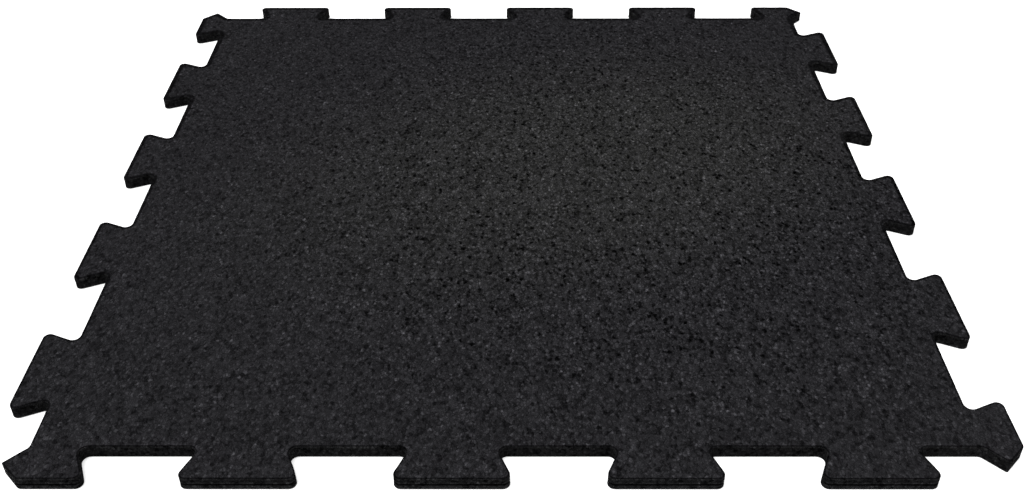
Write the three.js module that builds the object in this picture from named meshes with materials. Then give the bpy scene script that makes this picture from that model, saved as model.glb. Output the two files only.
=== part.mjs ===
// Interlocking rubber floor tile for a gym, cut in one piece from a pressed sheet of bonded rubber crumb.
// The tile is a square body with dovetail tabs on all four sides. Each side is the next one turned by a
// quarter, so any side of one tile locks into any side of another. Millimetres, +Z up, origin at the
// centre of the underside.
import * as THREE from "three";

// Driving dimensions.
const laidPitch = 609.6; // distance between the centres of two tiles that are locked together
const thickness = 9.5;
const tabDepth = 25.4; // how far a tab stands out from the body
const tabsPerSide = 4; // whole tabs on a side, besides the one on its corner
const flankLean = 11; // how far the tip of a tab overhangs its neck, on each side
const cornerNeck = 29.5; // width of the corner tab where it leaves the body
const fitGap = 0.25; // clearance that a tab has in the neighbour's socket
const cutRadius = 4.5; // rounding that the cutter leaves at tab tips and socket roots
const pointRadius = 1; // rounding of the corner tab's mitred point
const edgeBreak = 0.6; // arris worn off the upper and lower edges
const arcSteps = 3; // half the number of straight steps in a rounded corner

// Sizes that follow from them.
const bodySide = laidPitch - tabDepth - fitGap;
const tabPitch = (bodySide - 2 * cornerNeck - flankLean - fitGap) / tabsPerSide;
const neckWidth = tabPitch / 2 - flankLean - fitGap;
const tipWidth = neckWidth + 2 * flankLean;
const firstTab = cornerNeck + tabPitch - neckWidth / 2; // centre of the first whole tab

const rubber = new THREE.MeshStandardMaterial({ color: 0x242425, roughness: 0.92, metalness: 0 });

// The corners of one side, from its start corner on. along runs with the side and out away from the body.
function corner(along, out, radius = cutRadius) {
  return { along, out, radius };
}

// The tab on the start corner has one dovetail flank. Its other end is mitred to a point, so that the
// corner tabs of four tiles meet there and fill the square between their bodies.
function cornerTab() {
  return [
    corner(0, 0),
    corner(-tabDepth / 2, tabDepth / 2, pointRadius),
    corner(0, tabDepth),
    corner(cornerNeck + flankLean, tabDepth),
    corner(cornerNeck, 0),
  ];
}

function dovetailTab(centre) {
  return [
    corner(centre - neckWidth / 2, 0),
    corner(centre - tipWidth / 2, tabDepth),
    corner(centre + tipWidth / 2, tabDepth),
    corner(centre + neckWidth / 2, 0),
  ];
}

function sideCorners() {
  const corners = cornerTab();
  for (let i = 0; i < tabsPerSide; i++) corners.push(...dovetailTab(firstTab + i * tabPitch));
  return corners;
}

// All four sides, counter-clockwise, each turned by a quarter about the tile's centre.
function tileCorners() {
  const corners = [];
  for (let quarter = 0; quarter < 4; quarter++) {
    for (const { along, out, radius } of sideCorners()) {
      const point = new THREE.Vector2(along - bodySide / 2, -bodySide / 2 - out);
      point.rotateAround(new THREE.Vector2(), (quarter * Math.PI) / 2);
      corners.push({ point, radius });
    }
  }
  return corners;
}

// A closed shape through the corners, each rounded by an arc that touches both of its edges.
function roundedShape(corners) {
  const shape = new THREE.Shape();
  corners.forEach(({ point, radius }, i) => {
    const before = corners[(i + corners.length - 1) % corners.length].point;
    const after = corners[(i + 1) % corners.length].point;
    const back = before.clone().sub(point).normalize();
    const ahead = after.clone().sub(point).normalize();
    const halfAngle = Math.acos(back.dot(ahead)) / 2;
    const inward = back.clone().add(ahead).normalize();
    const centre = point.clone().addScaledVector(inward, radius / Math.sin(halfAngle));
    const start = point.clone().addScaledVector(back, radius / Math.tan(halfAngle)).sub(centre);
    const end = point.clone().addScaledVector(ahead, radius / Math.tan(halfAngle)).sub(centre);
    const turnsRight = back.cross(ahead) > 0;
    shape.absarc(centre.x, centre.y, radius, start.angle(), end.angle(), turnsRight);
  });
  shape.closePath();
  return shape;
}

// The slab between the broken arrises, standing on its underside.
function tileGeometry() {
  const geometry = new THREE.ExtrudeGeometry(roundedShape(tileCorners()), {
    depth: thickness - 2 * edgeBreak,
    curveSegments: arcSteps,
    bevelThickness: edgeBreak,
    bevelSize: edgeBreak,
    bevelOffset: -edgeBreak,
    bevelSegments: 1,
  });
  return geometry.translate(0, 0, edgeBreak);
}

const floorTile = new THREE.Mesh(tileGeometry(), rubber);
floorTile.name = "floor_tile";

const tile = new THREE.Group();
tile.add(floorTile);

export default tile;
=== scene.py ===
# Interlocking rubber gym tile, cut from a pressed sheet of bonded rubber crumb, seen as in its photograph.
# Metres and +Z up. The tile lies on the floor with the centre of its underside at the origin.
import math

import bpy
from mathutils import Matrix, Vector
from mathutils.kdtree import KDTree


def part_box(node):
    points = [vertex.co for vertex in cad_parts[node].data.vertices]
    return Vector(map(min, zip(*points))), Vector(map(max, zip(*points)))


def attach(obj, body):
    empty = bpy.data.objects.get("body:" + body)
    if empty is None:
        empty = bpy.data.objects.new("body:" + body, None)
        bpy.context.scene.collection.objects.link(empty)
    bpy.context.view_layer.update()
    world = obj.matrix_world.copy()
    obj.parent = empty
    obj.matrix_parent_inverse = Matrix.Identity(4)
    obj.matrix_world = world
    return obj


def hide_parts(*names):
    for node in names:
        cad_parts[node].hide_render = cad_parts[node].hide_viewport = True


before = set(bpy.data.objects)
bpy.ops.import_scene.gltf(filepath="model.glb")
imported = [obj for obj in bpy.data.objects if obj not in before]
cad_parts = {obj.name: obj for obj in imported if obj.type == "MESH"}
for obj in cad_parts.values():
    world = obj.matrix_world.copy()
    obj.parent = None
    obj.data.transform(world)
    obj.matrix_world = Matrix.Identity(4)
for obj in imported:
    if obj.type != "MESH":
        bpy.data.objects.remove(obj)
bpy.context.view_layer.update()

MM = 0.001

# The tile's sizes. The overall size and the thickness come from the frame.
low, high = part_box("floor_tile")
THICKNESS = high.z - low.z
OVERALL = high.x - low.x
TAB_DEPTH = 25.4 * MM
BODY_SIDE = OVERALL - 2 * TAB_DEPTH
TABS_PER_SIDE = 4
FLANK_LEAN = 11 * MM
CORNER_NECK = 29.5 * MM
FIT_GAP = 0.25 * MM
CUT_RADIUS = 4.5 * MM
POINT_RADIUS = 1 * MM
EDGE_BREAK = 0.6 * MM
TAB_PITCH = (BODY_SIDE - 2 * CORNER_NECK - FLANK_LEAN - FIT_GAP) / TABS_PER_SIDE
NECK_WIDTH = TAB_PITCH / 2 - FLANK_LEAN - FIT_GAP
DOVETAIL_ANGLE = math.degrees(math.atan2(TAB_DEPTH, FLANK_LEAN))
CORNER_TAB_ANGLE = 135
POINT_ANGLE = 90

# How finely the mesh is divided to take the crumb's relief, how deep that relief is, and up to what angle,
# in degrees, it is shaded smooth.
CELL = 2.3 * MM
WALL_ROWS = 4
ROUND_STEPS = 8
ARRIS_STEPS = 2
LUMP_SIZE = 5 * MM
LUMP_DEPTH = 0.14 * MM
GRIT_SIZE = 2.4 * MM
GRIT_DEPTH = 0.18 * MM
SMOOTH_ANGLE = 20

# How far up or down a face points, from 0 to 1. A wall points less than UPRIGHT, a wall with the steep half
# of its broken arrises less than STEEP, and the flat faces more than LEVEL.
UPRIGHT = 0.1
STEEP = 0.8
LEVEL = 0.95

# The crumbs in the materials, in millimetres: whole ones, the pieces of broken ones and the finest grain.
WHOLE_CRUMB = 2.6
BROKEN_CRUMB = 1.8
FINE_GRAIN = 0.9

# How many times longer the crumbs are along Y, as in a rolled sheet. Their outlines wander from side to side
# of a band WANDER wide, in bends of WANDER_SIZE, both in millimetres.
DRAWN_OUT = 1.4
WANDER = 2.6
WANDER_SIZE = 1.7

# The share of crumbs that are whole, and of pieces that are pale.
WHOLE_SHARE = 0.2
PALE_SHARE = 0.1

# About what the crumbs' shade comes to on average, where 1 is the tone itself, and how wide its fainter
# patches are.
MEAN_SHADE = 0.65
PATCH_SIZE = 60

# The tones of the pressed faces and of the cut walls. The walls are darker partly as cut rubber and partly
# by painted shade. Rubber crumb has next to no gloss.
FACE_TONE = (0.0305, 0.03, 0.0331)
SHADED_WALL_TONE = (0.0138, 0.0138, 0.0143)
GLOSS = 0.005

# How far in the darker, more porous band along the upper face's outline reaches on the near side and on the
# far side, how far these sides lie from the middle along Y, and a place out of its reach. All in
# millimetres.
NEAR_BAND_REACH = 0.9
FAR_BAND_REACH = 5.85
BAND_SPAN = 290
BEYOND_BAND = 10

# The grain's contrast is a painted highlight, strongest around a point near the middle where light catches
# the crumbs' facets: fully within the first distance of it and least beyond the second, in millimetres.
GLINT_MIDDLE = (90, 0, THICKNESS / MM)
GLINT_CORE = 120
GLINT_RIM = 380

# The cutter's line and ridge on the tips of the tabs, and where a painted reflection of the floor on their
# lower part starts and where it is full, as heights in millimetres. The tips are what lies beyond TIP_START
# along X or Y, and wholly beyond TIP_FULL.
TIP_START = 314
TIP_FULL = 316
LINE_HEIGHT = 4.2
RIDGE_HEIGHT = 5.7
TIP_REFLECTION_TOP = 3.7
TIP_REFLECTION_FULL = 3.1

# The heights in millimetres where the walls start to get lighter towards the upper arris, and where most;
# and likewise towards the foot, where the lightening is a painted reflection of the floor.
LIGHTER_TOP = (7.6, 9.3)
PAINTED_FLOOR_REFLECTION = (2, 0.2)

# The photograph's camera, found by fitting the tile's outline to its silhouette. Its angles are in degrees.
PHOTO_WIDTH = 1024
FOCAL_PIXELS = 1088.36
SENSOR_WIDTH = 36
CAMERA_PLACE = (0.00583, -0.74194, 0.51566)
CAMERA_DIP = 37.891
CAMERA_YAW = -0.198
CAMERA_ROLL = -0.138

# The white room: its light, and the floor, which glows a little so that hardly a shadow shows on it.
ROOM_LIGHT = 0.45
FLOOR_SIZE = 60
FLOOR_DROP = 0.05 * MM
FLOOR_WHITE = 0.88
FLOOR_GLOW = 0.45


# Modelling by hand: edit mode, selections by place or normal.

def near(a, b, slack=0.05 * MM):
    return abs(a - b) < slack


def ends(mesh, edge):
    return [mesh.vertices[i].co for i in edge.vertices]


def corner_angles(mesh):
    """The angle in degrees between the two edges that meet at each corner of a flat outline."""
    arms = {}
    for edge in mesh.edges:
        a, b = edge.vertices
        arms.setdefault(a, []).append(mesh.vertices[b].co - mesh.vertices[a].co)
        arms.setdefault(b, []).append(mesh.vertices[a].co - mesh.vertices[b].co)
    return {corner: math.degrees(pair[0].angle(pair[1])) for corner, pair in arms.items() if len(pair) == 2}


class Bench:
    """One part in edit mode. pick() selects what passes a test on the mesh, and nothing else."""

    def __init__(self, part):
        self.part = part

    def __enter__(self):
        bpy.ops.object.select_all(action="DESELECT")
        self.part.select_set(True)
        bpy.context.view_layer.objects.active = self.part
        bpy.ops.object.mode_set(mode="EDIT")
        return self

    def __exit__(self, *trouble):
        bpy.ops.object.mode_set(mode="OBJECT")

    def pick(self, kind, test):
        bpy.ops.mesh.select_mode(type={"vertices": "VERT", "edges": "EDGE", "polygons": "FACE"}[kind])
        bpy.ops.mesh.select_all(action="DESELECT")
        bpy.ops.object.mode_set(mode="OBJECT")
        mesh = self.part.data
        for element in getattr(mesh, kind):
            element.select = test(mesh, element)
        bpy.ops.object.mode_set(mode="EDIT")

    def pick_all(self):
        bpy.ops.mesh.select_all(action="SELECT")

    def pick_corners(self, angle):
        """Selects the corners of a flat outline whose angle is within a degree of this one."""
        bpy.ops.object.mode_set(mode="OBJECT")
        angles = corner_angles(self.part.data)
        bpy.ops.object.mode_set(mode="EDIT")
        self.pick("vertices", lambda mesh, vertex: abs(angles.get(vertex.index, 0) - angle) < 1)

    def cut_across(self, axis, places):
        """Cuts everything that isn't hidden by planes across an axis."""
        for place in places:
            self.pick_all()
            bpy.ops.mesh.bisect(plane_co=axis * place, plane_no=axis)


def pull_out_tabs(bench):
    """Pulls the tabs of the side that faces -Y out of the sheet: the mitred corner tab and the dovetails."""
    start = root_y = -BODY_SIDE / 2
    tip_y = root_y - TAB_DEPTH
    corner_right = start + CORNER_NECK
    necks = [(corner_right + i * TAB_PITCH - NECK_WIDTH, corner_right + i * TAB_PITCH)
             for i in range(1, TABS_PER_SIDE + 1)]
    bench.cut_across(Vector((1, 0, 0)), [corner_right] + [x for neck in necks for x in neck])

    def at_a_neck(mesh, edge):
        a, b = ends(mesh, edge)
        middle = (a.x + b.x) / 2
        in_neck = middle < corner_right or any(left < middle < right for left, right in necks)
        return in_neck and near(a.y, root_y) and near(b.y, root_y)

    def at_the_mitre(mesh, edge):
        return all(near(end.x, start) and end.y < root_y + MM for end in ends(mesh, edge))

    bench.pick("edges", at_a_neck)
    bpy.ops.mesh.extrude_edges_move(TRANSFORM_OT_translate={"value": (0, -TAB_DEPTH, 0)})
    spread = 1 + 2 * FLANK_LEAN / NECK_WIDTH
    for left, right in necks:
        bench.pick("vertices", lambda mesh, v: near(v.co.y, tip_y) and left - MM < v.co.x < right + MM)
        bpy.ops.transform.resize(value=(spread, 1, 1), center_override=((left + right) / 2, tip_y, 0))
    bench.pick("vertices", lambda mesh, v: near(v.co.y, tip_y) and near(v.co.x, corner_right))
    bpy.ops.transform.translate(value=(FLANK_LEAN, 0, 0))
    bench.pick("edges", at_the_mitre)
    bpy.ops.mesh.subdivide(number_cuts=1)
    bench.pick("vertices", lambda mesh, v: near(v.co.x, start) and near(v.co.y, root_y - TAB_DEPTH / 2))
    bpy.ops.transform.translate(value=(-TAB_DEPTH / 2, 0, 0))


def round_corners(bench, angle, radius):
    """Rounds each corner whose edges meet at that angle, in degrees, with an arc of that radius."""
    half = math.radians(angle) / 2
    arc_middle = (1 + 2 * math.sin(half)) / (2 + 2 * math.sin(half))
    bench.pick_corners(angle)
    bpy.ops.mesh.bevel(offset=radius / math.tan(half), segments=ROUND_STEPS, profile=arc_middle ** 2,
                       affect="VERTICES", clamp_overlap=False)


def steps_between(start, end, size):
    count = math.ceil((end - start) / size)
    return [start + (end - start) * i / count for i in range(1, count)]


def measure_from_arris(part):
    """Keeps each place's distance in millimetres from the upper face's outline, for the darker band along
    it.
    """
    mesh = part.data
    rim = {i for face in mesh.polygons if face.normal.z < LEVEL for i in face.vertices
           if near(mesh.vertices[i].co.z, THICKNESS)}
    rim_edges = [edge for edge in mesh.edges if rim.issuperset(edge.vertices)]
    places = [mesh.vertices[i].co for i in rim]
    places += [(a + b) / 2 for a, b in (ends(mesh, edge) for edge in rim_edges)]
    outline = KDTree(len(places))
    for i, place in enumerate(places):
        outline.insert(place, i)
    outline.balance()
    distance = mesh.attributes.new("from_arris", "FLOAT", "POINT")
    for vertex in mesh.vertices:
        upper = vertex.co.z > THICKNESS / 2
        distance.data[vertex.index].value = outline.find(vertex.co)[2] / MM if upper else BEYOND_BAND


def press_relief(part, kind, grain, depth):
    """Presses the noise of a procedural texture into the faces, never out of them."""
    texture = bpy.data.textures.new("crumb_relief", type=kind)
    texture.noise_scale = grain
    sink = part.modifiers.new("relief", "DISPLACE")
    sink.texture = texture
    sink.texture_coords = "LOCAL"
    sink.vertex_group = "off_the_floor"
    sink.mid_level = 1
    sink.strength = depth
    bpy.ops.object.modifier_apply(modifier=sink.name)


def make_tile():
    """The tile as it is made: outline, thickness, broken arrises, then the crumb's relief."""
    bpy.ops.object.select_all(action="DESELECT")
    bpy.ops.mesh.primitive_plane_add(size=BODY_SIDE, location=(0, 0, 0))
    tile = bpy.context.object
    tile.name = tile.data.name = "pressed_crumb_tile"
    tile.data.materials.append(pressed_face())
    tile.data.materials.append(cut_edge())
    with Bench(tile) as bench:
        for quarter in range(4):
            pull_out_tabs(bench)
            bench.pick_all()
            bpy.ops.transform.rotate(value=math.radians(90), orient_axis="Z", center_override=(0, 0, 0))
        bench.pick_all()
        bpy.ops.mesh.dissolve_faces()
        bench.pick_corners(180)
        bpy.ops.mesh.dissolve_verts()
        round_corners(bench, DOVETAIL_ANGLE, CUT_RADIUS)
        round_corners(bench, CORNER_TAB_ANGLE, CUT_RADIUS)
        round_corners(bench, POINT_ANGLE, POINT_RADIUS)
        bench.pick_all()
        bpy.ops.mesh.extrude_region_move(TRANSFORM_OT_translate={"value": (0, 0, THICKNESS)})
        bench.pick_all()
        bpy.ops.mesh.normals_make_consistent(inside=False)

        def on_a_rim(mesh, edge):
            a, b = ends(mesh, edge)
            return near(a.z, b.z)

        bench.pick("edges", on_a_rim)
        bpy.ops.mesh.bevel(offset=EDGE_BREAK, segments=ARRIS_STEPS, affect="EDGES", clamp_overlap=False)
        bench.pick("polygons", lambda mesh, face: face.normal.z < -LEVEL)
        bpy.ops.mesh.hide(unselected=False)
        for axis in (Vector((1, 0, 0)), Vector((0, 1, 0))):
            bench.cut_across(axis, steps_between(-OVERALL / 2, OVERALL / 2, CELL))
        bench.pick("polygons", lambda mesh, face: abs(face.normal.z) > UPRIGHT)
        bpy.ops.mesh.hide(unselected=False)
        wall_height = THICKNESS - 2 * EDGE_BREAK
        rows = steps_between(EDGE_BREAK, EDGE_BREAK + wall_height, wall_height / WALL_ROWS)
        bench.cut_across(Vector((0, 0, 1)), rows)
        bpy.ops.mesh.reveal()
        bench.pick("polygons", lambda mesh, face: abs(face.normal.z) < STEEP)
        tile.active_material_index = 1
        bpy.ops.object.material_slot_assign()
    measure_from_arris(tile)
    lifted = [vertex.index for vertex in tile.data.vertices if vertex.co.z > 1.5 * EDGE_BREAK]
    tile.vertex_groups.new(name="off_the_floor").add(lifted, 1, "REPLACE")
    press_relief(tile, "VORONOI", LUMP_SIZE, LUMP_DEPTH)
    press_relief(tile, "CLOUDS", GRIT_SIZE, GRIT_DEPTH)
    bpy.ops.object.shade_smooth_by_angle(angle=math.radians(SMOOTH_ANGLE))
    return tile


# Materials.

class Value:
    """A node's output. Expressions of values and numbers add Math nodes."""

    def __init__(self, recipe, socket):
        self.recipe = recipe
        self.socket = socket

    def math(self, operation, *terms):
        return self.recipe.node("Math", {"operation": operation}, dict(enumerate(terms)))

    def __add__(self, other):
        return self.math("ADD", self, other)

    def __sub__(self, other):
        return self.math("SUBTRACT", self, other)

    def __rsub__(self, other):
        return self.math("SUBTRACT", other, self)

    def __mul__(self, other):
        return self.math("MULTIPLY", self, other)

    def __truediv__(self, other):
        return self.math("DIVIDE", self, other)

    def __abs__(self):
        return self.math("ABSOLUTE", self)

    def over(self, level):
        """1 where the value is above the level, 0 elsewhere."""
        return self.math("GREATER_THAN", self, level)

    __radd__ = __add__
    __rmul__ = __mul__


def between(start, end, share):
    """What lies that share of the way from start to end."""
    return start + (end - start) * share


class Recipe:
    """The nodes of one material. Its places are in millimetres on the piece."""

    def __init__(self, name):
        self.material = bpy.data.materials.new(name)
        self.material.use_nodes = True
        self.nodes = self.material.node_tree.nodes
        self.nodes.clear()
        on_piece = self.node("TexCoord", {}, {}, "Object")
        self.place = self.node("Mapping", {}, {"Vector": on_piece, "Scale": (1 / MM, 1 / MM, 1 / MM)})

    def node(self, kind, settings, inputs, output=0):
        """Adds a node, makes its settings, sets or links its inputs, and gives one output as a Value."""
        made = self.nodes.new("ShaderNode" + kind)
        for name, setting in settings.items():
            setattr(made, name, setting)
        for name, term in inputs.items():
            if isinstance(term, Value):
                self.material.node_tree.links.new(term.socket, made.inputs[name])
            else:
                made.inputs[name].default_value = term
        return Value(self, made.outputs[output])

    def noise(self, size, colour=False):
        inputs = {"Vector": self.place, "Scale": 1 / size, "Detail": 2}
        return self.node("TexNoise", {}, inputs, "Color" if colour else "Fac")

    def vector(self, operation, *terms):
        output = "Value" if operation in ("DOT_PRODUCT", "DISTANCE") else "Vector"
        return self.node("VectorMath", {"operation": operation}, dict(enumerate(terms)), output)

    def ramp(self, value, start, end, smooth=True):
        """0 at start, 1 at end, and between them eased, or even where smooth is off."""
        settings = {"interpolation_type": "SMOOTHSTEP" if smooth else "LINEAR"}
        return self.node("MapRange", settings, {"Value": value, "From Min": start, "From Max": end})

    def axis(self, letter):
        return self.node("SeparateXYZ", {}, {"Vector": self.place}, letter)

    def scaled(self, vector, factor):
        return self.node("VectorMath", {"operation": "SCALE"}, {0: vector, "Scale": factor})

    def finish(self, kind, inputs):
        shader = self.node(kind, {}, inputs)
        output = self.nodes.new("ShaderNodeOutputMaterial")
        self.material.node_tree.links.new(shader.socket, output.inputs["Surface"])
        return self.material


class Crumbs:
    """A bed of crumbs of one size, in millimetres, each with chance numbers of its own from 0 to 1."""

    def __init__(self, recipe, place, size):
        fit = {"Vector": place, "Scale": 1 / size}
        colour = recipe.node("TexVoronoi", {"feature": "F1"}, fit, "Color")
        centre = Value(recipe, colour.socket.node.outputs["Position"])
        self.chances = [recipe.node("SeparateColor", {}, {"Color": colour}, i) for i in range(3)]
        self.edge = recipe.node("TexVoronoi", {"feature": "DISTANCE_TO_EDGE"}, fit, "Distance") * size
        lean = recipe.vector("SUBTRACT", colour, (0.5, 0.5, 0.5))
        self.facet = recipe.vector("DOT_PRODUCT", lean, recipe.vector("SUBTRACT", place, centre))


def bonded_crumb(recipe, tone, groove, pore_share, tilt, outline_band=0, glint_contrast=1, shade_changes=1):
    """Crumbs, most of them broken into pieces, with open grooves and pores between.

    A groove is as deep as each of its banks is wide, in millimetres. The shade changes multiply the shade;
    on the walls they include painted reflections of the floor.
    """
    wander = recipe.vector("SUBTRACT", recipe.noise(WANDER_SIZE, colour=True), (0.5, 0.5, 0.5))
    place = recipe.vector("ADD", recipe.place, recipe.scaled(wander, WANDER))
    place = recipe.vector("DIVIDE", place, (1, DRAWN_OUT, 1))
    whole = Crumbs(recipe, place, WHOLE_CRUMB)
    piece = Crumbs(recipe, place, BROKEN_CRUMB)
    broken = whole.chances[2].over(WHOLE_SHARE)
    whole_body = recipe.ramp(whole.edge, 0, groove)
    body = whole_body * (1 - broken * (1 - recipe.ramp(piece.edge, 0, groove)))
    pore = whole.chances[1].over(1 - pore_share - 0.2 * outline_band) * whole_body
    pale = broken * piece.chances[1].over(1 - PALE_SHARE)
    grain = recipe.noise(FINE_GRAIN)
    patches = recipe.ramp(recipe.noise(PATCH_SIZE), 0.3, 0.7)

    height = body * groove - pore * groove + whole.facet * tilt + piece.facet * broken * tilt + grain * 0.03

    shade = between(0.75, 1.25, whole.chances[0]) * between(1, 0.3, pore) * between(0.5, 1, body)
    shade = shade * (1 + broken * between(-0.55, 0.55, piece.chances[0]))
    shade = shade * between(1, 1.8, pale) * between(0.95, 1.05, grain)
    # A contrast above 1 paints a highlight, as where light catches the crumbs' facets.
    shade = MEAN_SHADE + (shade - MEAN_SHADE) * glint_contrast
    shade = shade * between(0.975, 1.025, patches) * shade_changes
    bumps = recipe.node("Bump", {}, {"Height": height, "Distance": MM})
    return recipe.finish("BsdfPrincipled", {
        "Base Color": recipe.scaled(tone, shade), "Normal": bumps, "Specular IOR Level": GLOSS,
        "Roughness": between(0.75, 0.95, whole.chances[1])})


def pressed_face():
    """Both faces. The upper one is darker and more porous in a band along its outline, widest on the far
    side, and its grain's contrast is a painted highlight around the middle; the lower one has no such band.
    """
    recipe = Recipe("pressed crumb face")
    from_arris = recipe.node("Attribute", {"attribute_name": "from_arris"}, {}, "Fac")
    # A darker, more porous band along the upper outline, widening from the near side to the far side.
    reach = between(NEAR_BAND_REACH, FAR_BAND_REACH, recipe.ramp(recipe.axis("Y"), -BAND_SPAN, BAND_SPAN, smooth=False))
    outline_band = 1 - recipe.ramp(from_arris / reach, 0.6, 1)
    # Painted highlight: the grain's contrast grows towards the middle, where light catches the crumbs'
    # facets.
    from_glint_middle = recipe.vector("DISTANCE", recipe.place, GLINT_MIDDLE)
    glint_contrast = between(0.78, 1.22, recipe.ramp(from_glint_middle, GLINT_RIM, GLINT_CORE))
    return bonded_crumb(recipe, tone=FACE_TONE, groove=0.6, pore_share=0.13, tilt=0.85,
                        outline_band=outline_band, glint_contrast=glint_contrast, shade_changes=between(1, 0.3, outline_band))


def cut_edge():
    """The cut walls: lighter towards the upper arris, a painted reflection of the floor along the foot, and
    on the tabs' tips the line and ridge that the cutter left and a painted reflection of the floor on their
    lower part.
    """
    recipe = Recipe("cut crumb edge")
    height = recipe.axis("Z")
    outermost = height.math("MAXIMUM", abs(recipe.axis("X")), abs(recipe.axis("Y")))
    tip = recipe.ramp(outermost, TIP_START, TIP_FULL)
    line = recipe.ramp(abs(height - LINE_HEIGHT), 0.9, 0.4) * tip
    ridge = recipe.ramp(abs(height - RIDGE_HEIGHT), 0.7, 0.3) * tip
    # A painted reflection of the floor on the lower part of the tips.
    tip_floor_reflection = recipe.ramp(height, TIP_REFLECTION_TOP, TIP_REFLECTION_FULL) * tip
    # Lighter towards the upper arris, and a painted reflection of the floor along the foot beside the tips.
    lighter_top_and_painted_reflection = 0.8 * recipe.ramp(height, *LIGHTER_TOP) + 0.6 * recipe.ramp(height, *PAINTED_FLOOR_REFLECTION) * (1 - tip)
    shade_changes = (1 + lighter_top_and_painted_reflection) * between(1, 1.9, tip_floor_reflection) * between(1, 1.9, ridge) * between(1, 0.15, line)
    # The walls' darker tone is partly painted shade.
    return bonded_crumb(recipe, tone=SHADED_WALL_TONE, groove=0.7, pore_share=0.25, tilt=0.9, shade_changes=shade_changes)


# The stage.

def make_camera():
    camera = bpy.data.objects.new("camera", bpy.data.cameras.new("camera"))
    bpy.context.collection.objects.link(camera)
    camera.data.sensor_width = SENSOR_WIDTH
    camera.data.lens = FOCAL_PIXELS / PHOTO_WIDTH * SENSOR_WIDTH
    yaw, dip, roll = (math.radians(angle) for angle in (CAMERA_YAW, CAMERA_DIP, CAMERA_ROLL))
    aim = Matrix.Rotation(-yaw, 4, "Z") @ Matrix.Rotation(math.pi / 2 - dip, 4, "X")
    camera.matrix_world = Matrix.Translation(CAMERA_PLACE) @ aim @ Matrix.Rotation(roll, 4, "Z")
    bpy.context.scene.camera = camera


def make_floor():
    bpy.ops.object.select_all(action="DESELECT")
    bpy.ops.mesh.primitive_plane_add(size=FLOOR_SIZE, location=(0, 0, -FLOOR_DROP))
    floor = bpy.context.object
    floor.name = "studio_floor"
    paint = Recipe("white floor")
    floor.data.materials.append(paint.finish("BsdfPrincipled", {
        "Base Color": (FLOOR_WHITE, FLOOR_WHITE, FLOOR_WHITE, 1), "Roughness": 1.0,
        "Specular IOR Level": 0.0, "Emission Color": (1, 1, 1, 1), "Emission Strength": FLOOR_GLOW}))


def make_lamp(name, kind, place, aim, settings):
    data = bpy.data.lights.new(name, type=kind)
    for setting, value in settings.items():
        setattr(data, setting, value)
    lamp = bpy.data.objects.new(name, data)
    bpy.context.collection.objects.link(lamp)
    lamp.location = place
    lamp.rotation_euler = (Vector(aim) - Vector(place)).to_track_quat("-Z", "Y").to_euler()


def make_lights():
    """A white room, a wide soft light from above, and a narrow one that leaves a faint pool on the tile."""
    world = bpy.data.worlds.new("studio")
    world.use_nodes = True
    world.node_tree.nodes["Background"].inputs["Color"].default_value = (1, 1, 1, 1)
    world.node_tree.nodes["Background"].inputs["Strength"].default_value = ROOM_LIGHT
    bpy.context.scene.world = world
    make_lamp("ceiling_light", "SUN", (-0.8, -0.3, 3), (0, 0, 0), {"energy": 3.2, "angle": math.radians(50)})
    make_lamp("pool_light", "SPOT", (2.2, 0.8, 1.8), (0.05, 0.03, 0),
              {"energy": 330, "color": (0.96, 1, 0.72), "spot_size": math.radians(8), "spot_blend": 1,
               "shadow_soft_size": 0.05})


make_camera()
make_floor()
make_lights()
tile = make_tile()
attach(tile, "root")
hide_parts("floor_tile")
bpy.context.scene.view_settings.view_transform = "Standard"
